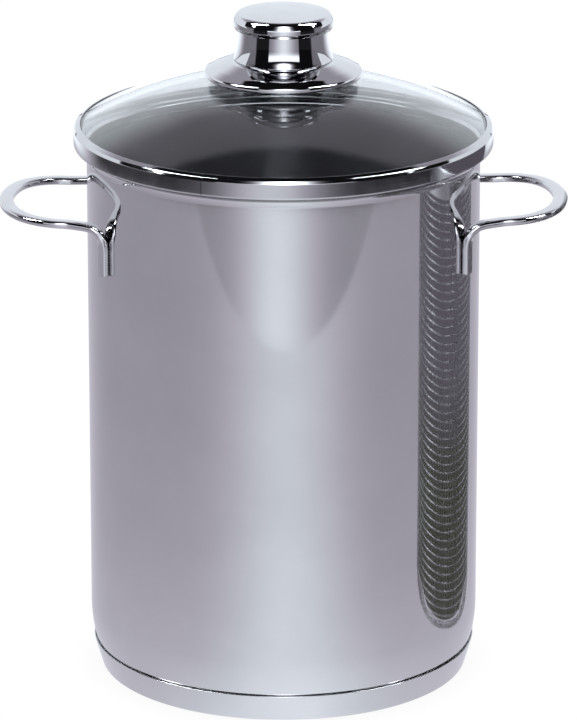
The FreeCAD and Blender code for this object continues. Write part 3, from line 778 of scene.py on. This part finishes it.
def lid_glass():
    inner_sphere = DOME_R - GLASS_THICK
    shoulder = GLASS_R - GLASS_EDGE
    radii = [GLASS_HOLE + (shoulder - GLASS_HOLE) * i / 40 for i in range(41)]
    top, under = dome(shoulder), dome(shoulder, inner_sphere)
    edge = [
        (GLASS_R - 0.48, top - 0.33),
        (GLASS_R - 0.24, top - 0.72),
        (GLASS_R - 0.08, top - 1.12),
        (GLASS_R, top - 1.6),
        (GLASS_R, under + 1.0),
        (GLASS_R - 0.1, under + 0.6),
        (GLASS_R - 0.3, under + 0.25),
    ]
    upper = [(r, dome(r)) for r in radii]
    lower = [(r, dome(r, inner_sphere)) for r in reversed(radii)]
    return lathe("lid_glass_dome", upper + edge + lower, [LID_GLASS], sides=320)


BAND_R, BAND_BOTTOM, BAND_TOP, BAND_SHEET = 86.1, 223.4, 230.4, 0.5
BAND_FLOOR = BAND_BOTTOM + BAND_SHEET
SEAM_ANGLE = 246.5  # where the band's ends meet, degrees from +X
SEAM_HALF = degrees(0.125 / 86.0)
# Rolled band round the glass, with a skirt hanging into the pot: (r, z, fillet)
BAND_CORNERS = [
    (83.35, 231.62, 0),
    (83.35, 232.18, 0.25),
    (BAND_R - 0.75, 231.05, 0.55),
    (BAND_R, BAND_TOP - 0.55, 0.5),
    (BAND_R, BAND_BOTTOM, 0.75),
    (80.6, BAND_BOTTOM, 0.6),
    (79.35, 222.6, 0.8),
    (79.35, 219.8, 0.24),
    (78.85, 219.8, 0.24),
    (78.85, 222.9, 0.8),
    (80.2, BAND_FLOOR, 0.5),
    (82.6, BAND_FLOOR, 0.35),
    (82.6, 227.12, 0.3),
    (83.2, 226.85, 0),
    (83.2, BAND_FLOOR, 0.25),
    (BAND_R - BAND_SHEET, BAND_FLOOR, 0.3),
    (BAND_R - BAND_SHEET, BAND_TOP - 0.35, 0.2),
    (BAND_R - 1.0, 230.72, 0.2),
]

KNOB_BORE = 3.2
DRUM_R, DRUM_SHEET = 18.35, 0.8
# Each (r, z, fillet)
SAUCER_CORNERS = [
    (KNOB_BORE, 253.01, 0),
    (16.0, 253.01, 0.6),
    (18.0, 257.0, 1.5),
    (28.6, 254.2, 1.2),
    (29.4, 251.75, 0.9),
    (32.2, 251.55, 1.25),
    (32.3, 254.25, 1.3),
    (28.6, 256.15, 12.0),
    (22.2, 258.75, 5.0),
    (20.4, 259.0, 1.2),
    (KNOB_BORE, 259.0, 0),
]
DRUM_CORNERS = [
    (KNOB_BORE, 259.01, 0),
    (20.6, 259.01, 0.3),
    (20.0, 260.6, 15.0),
    (19.2, 263.2, 28.0),
    (DRUM_R, 268.5, 33.0),
    (DRUM_R, 273.2, 0.2),
    (DRUM_R - DRUM_SHEET, 273.2, 0.2),
    (DRUM_R - DRUM_SHEET, 268.3, 28.0),
    (18.4, 262.8, 20.0),
    (18.9, 259.81, 0.4),
    (KNOB_BORE, 259.81, 0),
]
CAP_CORNERS = [
    (0, 278.92, 0),
    (13.0, 278.6, 40.0),
    (19.1, 278.0, 2.6),
    (20.7, 275.4, 3.0),
    (20.7, 273.4, 1.2),
    (19.95, 271.8, 0.28),
    (DRUM_R + GAP, 271.8, 0.15),
    (DRUM_R + GAP, 273.3, 0.3),
    (19.6, 274.2, 0.8),
    (19.6, 275.2, 1.8),
    (17.9, 277.1, 1.6),
    (0, 277.9, 0),
]

put(lid_glass(), "lid", "lid_glass")
ob = lathe(
    "lid_rim_band_roll",
    outline(BAND_CORNERS, step=10.0, hold=0.1),
    [BAND_STEEL],
    sides=340,
    span=(SEAM_ANGLE + SEAM_HALF, SEAM_ANGLE + 360 - SEAM_HALF),
)
put(ob, "lid", "lid_rim_band")
for node, part, corners, step in (
    ("knob_saucer", "skirt", SAUCER_CORNERS, 5.0),
    ("knob_body", "drum", DRUM_CORNERS, 2.5),
    ("knob_cap", "shell", CAP_CORNERS, 4.0),
):
    ob = lathe(f"{node}_{part}", outline(corners, step=step), [KNOB_STEEL])
    put(ob, "lid", node)

# ------------------------------------------------------------------ basket
BASKET_R, BASKET_RIM = 74.2, 171.0
MESH_THICK = 1.0
BASKET_FLOOR = 17.6  # underside of the wall's flange
MESH_R = BASKET_R - MESH_THICK / 2
WEAVE = 0.24  # how far the wires swing to either side of the mesh's middle
WALL_WIRE, FLOOR_WIRE = 0.255, 0.245  # wire radii
UPRIGHTS = 166
TURN_R = 9.5  # the wall's foot is drawn in on this radius to a narrow flange
FLANGE_R = 60.25
TURN_Z = BASKET_FLOOR + MESH_THICK / 2 + TURN_R
TURN_LEN = TURN_R * pi / 2
FLANGE_LEN = MESH_R - TURN_R - FLANGE_R
WALL_LEN = FLANGE_LEN + TURN_LEN + BASKET_RIM - 1.0 - TURN_Z
WALL_HOOPS = int(WALL_LEN / (2 * pi * MESH_R / UPRIGHTS))  # about as close as the uprights
DISC_Z = BASKET_FLOOR - GAP - MESH_THICK  # underside of the woven floor
DISC_R, FLOOR_PITCH = 63.85, 2.79


def wall_path(t):
    """Middle of the mesh at distances along the wall and its normal, as (r, z, nr, nz)."""
    a = np.clip((t - FLANGE_LEN) / TURN_R, 0, pi / 2)
    r = FLANGE_R + np.minimum(t, FLANGE_LEN) + TURN_R * np.sin(a)
    z = TURN_Z - TURN_R * np.cos(a) + np.clip(t - FLANGE_LEN - TURN_LEN, 0, None)
    return r, z, np.sin(a), -np.cos(a)


def round_z(r, z, theta):
    """Points at radius r and height z for each angle, the arrays matched by shape."""
    r, z = np.broadcast_arrays(r, z)
    return np.stack([r * np.cos(theta), r * np.sin(theta), z], -1)


def basket_wall():
    """Uprights and hoops of the wall, woven over and under one another."""
    stations = WALL_LEN * (np.arange(WALL_HOOPS) + 0.5) / WALL_HOOPS
    theta = 2 * np.pi * np.arange(UPRIGHTS) / UPRIGHTS
    r, z, nr, nz = wall_path(np.concatenate([[0.0], stations, [WALL_LEN]]))
    i, k = np.meshgrid(np.arange(UPRIGHTS), np.arange(WALL_HOOPS + 2), indexing="ij")
    sign = np.where((i + k) % 2 == 0, 1.0, -1.0)
    sign[:, 0] = sign[:, -1] = 0.0
    column = theta[:, None]
    paths = round_z(r + WEAVE * sign * nr, z + WEAVE * sign * nz, column)
    normals = round_z(np.broadcast_to(nr, sign.shape), nz, column)
    uprights = wires(paths, normals, WALL_WIRE, closed=False)
    sign = sign[:, 1:-1].T
    r, z, nr, nz = (v[1:-1, None] for v in (r, z, nr, nz))
    paths = round_z(r - WEAVE * sign * nr, z - WEAVE * sign * nz, theta)
    normals = round_z(np.broadcast_to(nr, sign.shape), nz, theta)
    hoops = wires(paths, normals, WALL_WIRE, closed=True)
    return woven("basket_mesh_uprights", [uprights]), woven("basket_mesh_hoops", [hoops])


def basket_floor():
    """The woven floor, a flat disc under the flange. Its wires run along X, then along Y."""
    cells = int(DISC_R / FLOOR_PITCH)
    index = np.arange(-cells, cells + 1)
    parts = []
    for swing in (1, -1):
        for i in index:
            offset = i * FLOOR_PITCH
            end = sqrt(DISC_R**2 - offset**2)
            crossed = index[np.abs(index * FLOOR_PITCH) < end - 0.6]
            sign = np.where((crossed + i) % 2 == 0, 1.0, -1.0) * swing
            along = np.concatenate([[-end], crossed * FLOOR_PITCH, [end]])
            z = DISC_Z + MESH_THICK / 2 + np.concatenate([[0], sign * WEAVE, [0]])
            across = np.full_like(along, offset)
            x, y = (along, across) if swing == 1 else (across, along)
            normals = np.broadcast_to((0.0, 0.0, 1.0), (1, len(z), 3))
            path = np.stack([x, y, z], -1)[None]
            parts.append(wires(path, normals, FLOOR_WIRE, closed=False))
    return woven("basket_mesh_base", parts)


def basket_rim():
    """A strip folded over the top of the mesh."""
    sheet = 0.6
    outside, inside = BASKET_R + 0.03, BASKET_R - MESH_THICK - 0.03
    bottom, under_fold = BASKET_RIM - 9.0, BASKET_RIM - 0.75
    # (r, z, fillet)
    corners = [
        (outside, bottom, 0),
        (outside + sheet, bottom, 0.15),
        (outside + sheet, BASKET_RIM, 0.9),
        (inside - sheet, BASKET_RIM, 0.9),
        (inside - sheet, bottom, 0.15),
        (inside, bottom, 0),
        (inside, under_fold, 0.2),
        (outside, under_fold, 0.2),
    ]
    return lathe("basket_rim_strip", outline(corners), [BASKET_STEEL])


ROD_R = 1.5  # base hoop, feet and bails
CROSS_R = 1.25
HOOP_R = 61.9
HOOP_Z = DISC_Z - GAP - ROD_R


def base_hoop():
    a = np.linspace(0, 2 * pi, 160, endpoint=False)
    return rods("basket_base_ring", [sweep(round_z(HOOP_R, HOOP_Z, a) if False else
        np.stack([HOOP_R * np.cos(a), HOOP_R * np.sin(a), np.full_like(a, HOOP_Z)], -1),
        ROD_R, sides=24, closed=True)])


def cross_wires():
    """One whole wire and two halves that meet it, turned 45 degrees inside the hoop."""
    z = DISC_Z - GAP - CROSS_R
    reach = HOOP_R - ROD_R - GAP
    ends = [((-reach, 0, z), (reach, 0, z))]
    ends += [((0, s * (CROSS_R + GAP), z), (0, s * reach, z)) for s in (1, -1)]
    sweeps = [sweep(spun(np.linspace(a, b, 7), 45), CROSS_R) for a, b in ends]
    return rods("basket_floor_wires", sweeps)


def feet():
    """Four U-shaped loops under the hoop."""
    bottom, half_width, bend = 8.55, 9.0, 3.0
    top = HOOP_Z - ROD_R + 0.55
    bend_y, bend_z = half_width - bend, bottom + bend
    leg = (top, (top + bend_z) / 2, bend_z)
    # (y, z)
    loop = (
        [(-half_width, z) for z in leg]
        + arc((-bend_y, bend_z), bend, 190, 260, 7)
        + [(y, bottom) for y in np.linspace(-bend_y, bend_y, 7)]
        + arc((bend_y, bend_z), bend, -80, -10, 7)
        + [(half_width, z) for z in reversed(leg)]
    )
    points = [(HOOP_R, y, z) for y, z in loop]
    sweeps = [sweep(spun(points, turn), ROD_R) for turn in (0, 90, 180, 270)]
    return rods("basket_foot_loops", sweeps)


def bail(side, label):
    """A lifting handle folded flat over the basket, its two ends turned out along Y."""
    pivot_x, grip_x, arm_y, end_y, z = 64.0, 22.0, 28.4, 34.2, 174.0
    corner, bend = 10.0, 2.2
    arm_out, arm_in = pivot_x - bend, grip_x + corner
    bend_y, corner_y = arm_y + bend, arm_y - corner
    arm = np.linspace(arm_out, arm_in, 7)
    path = (
        [(pivot_x, -end_y), (pivot_x, -bend_y - 1.0), (pivot_x, -bend_y)]
        + arc((arm_out, -bend_y), bend, 10, 90, 8)
        + [(x, -arm_y) for x in arm[1:]]
        + arc((arm_in, -corner_y), corner, -98, -178, 10)
        + [(grip_x, y) for y in np.linspace(-corner_y, corner_y, 9)]
        + arc((arm_in, corner_y), corner, 172, 92, 10)
        + [(x, arm_y) for x in arm[::-1]]
        + arc((arm_out, bend_y), bend, -80, 0, 8)
        + [(pivot_x, bend_y + 1.0), (pivot_x, end_y)]
    )
    points = [(side * x, y, z) for x, y in path]
    return rods(f"basket_bail_{label}", [sweep(points, ROD_R, sides=24, round_ends=True)])


uprights, hoops = basket_wall()
put(uprights, "basket", "basket_mesh_wall")
put(hoops, "basket", "basket_mesh_wall")
put(basket_floor(), "basket", "basket_mesh_floor")
rim = put(basket_rim(), "basket", "basket_rim_band")
put(base_hoop(), "basket", "basket_base_hoop")
put(cross_wires(), "basket", "basket_cross_wires")
put(feet(), "basket", "basket_feet")
for side, label in ((-1, "left"), (1, "right")):
    handle = f"basket_handle_{label}"
    put(bail(side, label), handle, handle)

# --------------------------------------------------- finishes on CAD pieces
for node, mat in {
    "base_core": ALUMINIUM,
    "knob_core": MOULDING,
    "knob_insert": BRASS,
    "knob_screw": PLAIN_STEEL,
    "knob_washer": PLAIN_STEEL,
    "knob_gasket_upper": SILICONE,
    "knob_gasket_lower": SILICONE,
    "basket_handle_eyes": WIRE_ROD,
}.items():
    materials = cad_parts[node].data.materials
    materials.clear()
    materials.append(mat)

# ------------------------------------------------------------------- stage
WHITE_LEVEL = 1.02  # what the camera itself sees of the floor and the world
WINDOW_EDGE = (36.0, 38.5)  # azimuth of the front window's soft edges


def window_glow(g, az):
    """Brightness across the front window near the horizon."""
    return g.mul_add(g.bell(az, centre=0.0, width=22.0), 0.95, 0.22)


def floor_level(g):
    """Brightness of the floor as reflections see it, by place."""
    x, y, _ = g.xyz(g.node("ShaderNodeNewGeometry").outputs["Position"])
    r = g.radius(x, y)
    az = g.from_front(x, y)
    abs_az = g.math("ABSOLUTE", az)
    # the table: brighter close to the pot, in front and behind
    near = g.math("EXPONENT", g.math("DIVIDE", g.sub(0.08, r), 0.15))
    rear = g.ramp(abs_az, start=116.0, end=168.0)
    table = g.add(0.45, g.mul(near, 0.26))
    table = g.add(table, g.mul(g.bell(az, centre=0.0, width=30.0), 0.45))
    table = g.add(table, g.mul(rear, 0.16))
    # in front of the table's curved edge
    before = g.add(0.40, g.mul(g.bell(az, centre=-4.0, width=20.0), 0.66))
    # what the lid's band, the knob and the flared rim see further out
    strip = g.add(0.03, g.mul(g.bell(az, centre=-8.0, width=25.0), 0.80))
    window = g.mul(g.fade(abs_az, *WINDOW_EDGE), window_glow(g, az))
    dark, far = (
        g.add(g.mul_add(g.ramp(abs_az, start=70.0, end=76.0), 0.24, 0.015), window)
        for _ in range(2)
    )
    edge = g.mul_add(g.mul(x, x), 0.14, -0.580)
    on_table = g.ramp(g.sub(y, edge), start=-0.004, end=0.004)
    level = g.mix(on_table, before, table)
    outer = g.mix(g.ramp(r, start=0.92, end=0.96), strip, dark)
    outer = g.mix(g.ramp(r, start=1.20, end=1.24), outer, far)
    outer = g.mix(g.ramp(abs_az, start=112.0, end=150.0), outer, 1.25)
    return g.mix(g.ramp(r, start=0.822, end=0.836), level, outer)


def stage_floor():
    """White to the camera, faintly shaded where pieces touch it. Reflections see the studio."""
    mat, g = new_material("stage_floor")
    colour = g.tinted(floor_level(g))
    glow = g.node("ShaderNodeEmission", {"Color": colour, "Strength": 1.0})
    contact = g.node("ShaderNodeAmbientOcclusion", {"Distance": 0.02}, samples=8)
    shade = g.mix(contact.outputs["AO"], 0.90, 1.0)
    colour = g.mix_colour(shade, (0, 0, 0, 1), (1, 1, 1, 1))
    white = g.node("ShaderNodeEmission", {"Color": colour, "Strength": WHITE_LEVEL})
    g.by_ray(glow, white)
    half, z = 9.0, -0.0002
    mesh = bpy.data.meshes.new("stage_floor")
    corners = [(-half, -half, z), (half, -half, z), (half, half, z), (-half, half, z)]
    mesh.from_pydata(corners, [], [(0, 1, 2, 3)])
    mesh.materials.append(mat)
    link_object("stage_floor", mesh)


def studio_level(g):
    """Brightness of the studio by direction, in degrees of elevation and azimuth."""
    x, y, z = g.xyz(g.coords("Generated"))
    el = g.mul(g.math("ARCSINE", z), 180 / pi)
    az = g.from_front(x, y)
    abs_az = g.math("ABSOLUTE", az)
    # elevation over the top from the front horizon, for the sweep's upper edge
    over = g.from_front(z, y)
    back = g.mul(g.ramp(over, start=121.0, end=123.5), g.ramp(abs_az, start=70.0, end=74.0))
    sweep_level = g.mul(back, g.ramp(el, start=25.0, end=41.0, low=1.05, high=0.40))
    # a dim low wall at the sides and round the back
    side = g.mul(g.ramp(abs_az, start=70.0, end=74.0), g.fade(el, start=14.0, end=22.0))
    side_level = g.mul(side, 0.22)
    # the front window: wide near the horizon, narrow above it
    window = g.mul(g.fade(abs_az, *WINDOW_EDGE), g.fade(el, start=13.0, end=15.0))
    column = g.bell(az, centre=0.0, width=12.0)
    tall = g.mul(column, g.between(el, rise=(16.0, 20.0), fall=(56.0, 62.0)))
    low = window_glow(g, az)
    wide = g.mul(window, g.mix(g.ramp(el, start=1.0, end=9.0), low, 1.9))
    window_level = g.math("MAXIMUM", wide, g.mul(tall, 7.0))
    # a strong high box on either side
    box = g.between(abs_az, rise=(79.0, 81.0), fall=(94.0, 96.0))
    box = g.mul(box, g.between(el, rise=(34.0, 36.0), fall=(69.0, 71.0)))
    box_level = g.mul(box, 32.0)
    walls = g.math("MAXIMUM", sweep_level, side_level)
    lamps = g.math("MAXIMUM", window_level, box_level)
    return g.math("MAXIMUM", g.math("MAXIMUM", walls, lamps), 0.006)


def studio():
    """White to the camera. Reflections see a sweep behind, a window in front, a dark ceiling."""
    world = bpy.data.worlds.new("studio")
    scene.world = world
    world.use_nodes = True
    g = Graph(world.node_tree)
    colour = g.tinted(studio_level(g))
    lit = g.node("ShaderNodeBackground", {"Color": colour, "Strength": 1.0})
    white = g.node("ShaderNodeBackground", {"Color": (1, 1, 1, 1), "Strength": WHITE_LEVEL})
    g.by_ray(lit, white, kind="ShaderNodeOutputWorld")


def second_basket(parts):
    """A second wire basket just right of the pot, only seen as a reflection."""
    x, y = 192.0 * MM, 2.0 * MM
    for part in parts:
        ob = link_object("stage_" + part.name, part.data)
        ob.location = (x, y, -0.0235)
        ob.scale = (1, 1, 1.34)
        ob.visible_camera = False
        ob.visible_shadow = False
    # its inside as painted shade: a dark glowing cylinder, darker and greener towards the bottom
    mat, g = new_material("stage_painted_shade")
    height = g.xyz(g.coords())[2]
    share = g.ramp(height, start=0.06, end=0.13)
    colour = g.mix_colour(share, (0.045, 0.05, 0.03, 1), (0.125, 0.115, 0.145, 1))
    g.surface(g.node("ShaderNodeEmission", {"Color": colour, "Strength": 1.0}))
    profile = [(0, 2), (58, 2), (70.5, 14), (70.5, 203), (0, 203)]
    inside = lathe("stage_basket_painted_shade", profile, [mat], sides=64)
    inside.location = (x, y, 0)
    inside.visible_camera = False
    inside.visible_shadow = False


stage_floor()
studio()
second_basket((uprights, hoops, rim))

# ------------------------------------------------------------------ camera
DISTANCE, HEIGHT = 2.2, 0.8433  # from the pot's axis, above the table
PITCH, YAW = 0.31334, radians(1.2)  # looking down, and standing to the left of the front
SHIFT = 0.00206  # sideways, to the camera's right


def add_camera():
    data = bpy.data.cameras.new("camera")
    data.sensor_width = 36.0
    data.lens = 278.3
    data.clip_start = 0.05
    data.clip_end = 60.0
    camera = link_object("camera", data)
    camera.location = (
        -DISTANCE * sin(YAW) + SHIFT * cos(YAW),
        -DISTANCE * cos(YAW) - SHIFT * sin(YAW),
        HEIGHT,
    )
    camera.rotation_euler = (pi / 2 - PITCH, 0.0, -YAW)
    scene.camera = camera


add_camera()
scene.view_settings.view_transform = "Standard"
scene.view_settings.look = "None"
scene.view_settings.exposure = 0.0
scene.view_settings.gamma = 1.0
scene.cycles.max_bounces = 14
scene.cycles.glossy_bounces = 8
scene.cycles.transmission_bounces = 10
scene.cycles.transparent_max_bounces = 16
scene.cycles.diffuse_bounces = 3
scene.cycles.caustics_reflective = True
scene.cycles.caustics_refractive = True
scene.cycles.sample_clamp_indirect = 5.0
scene.cycles.use_denoising = True
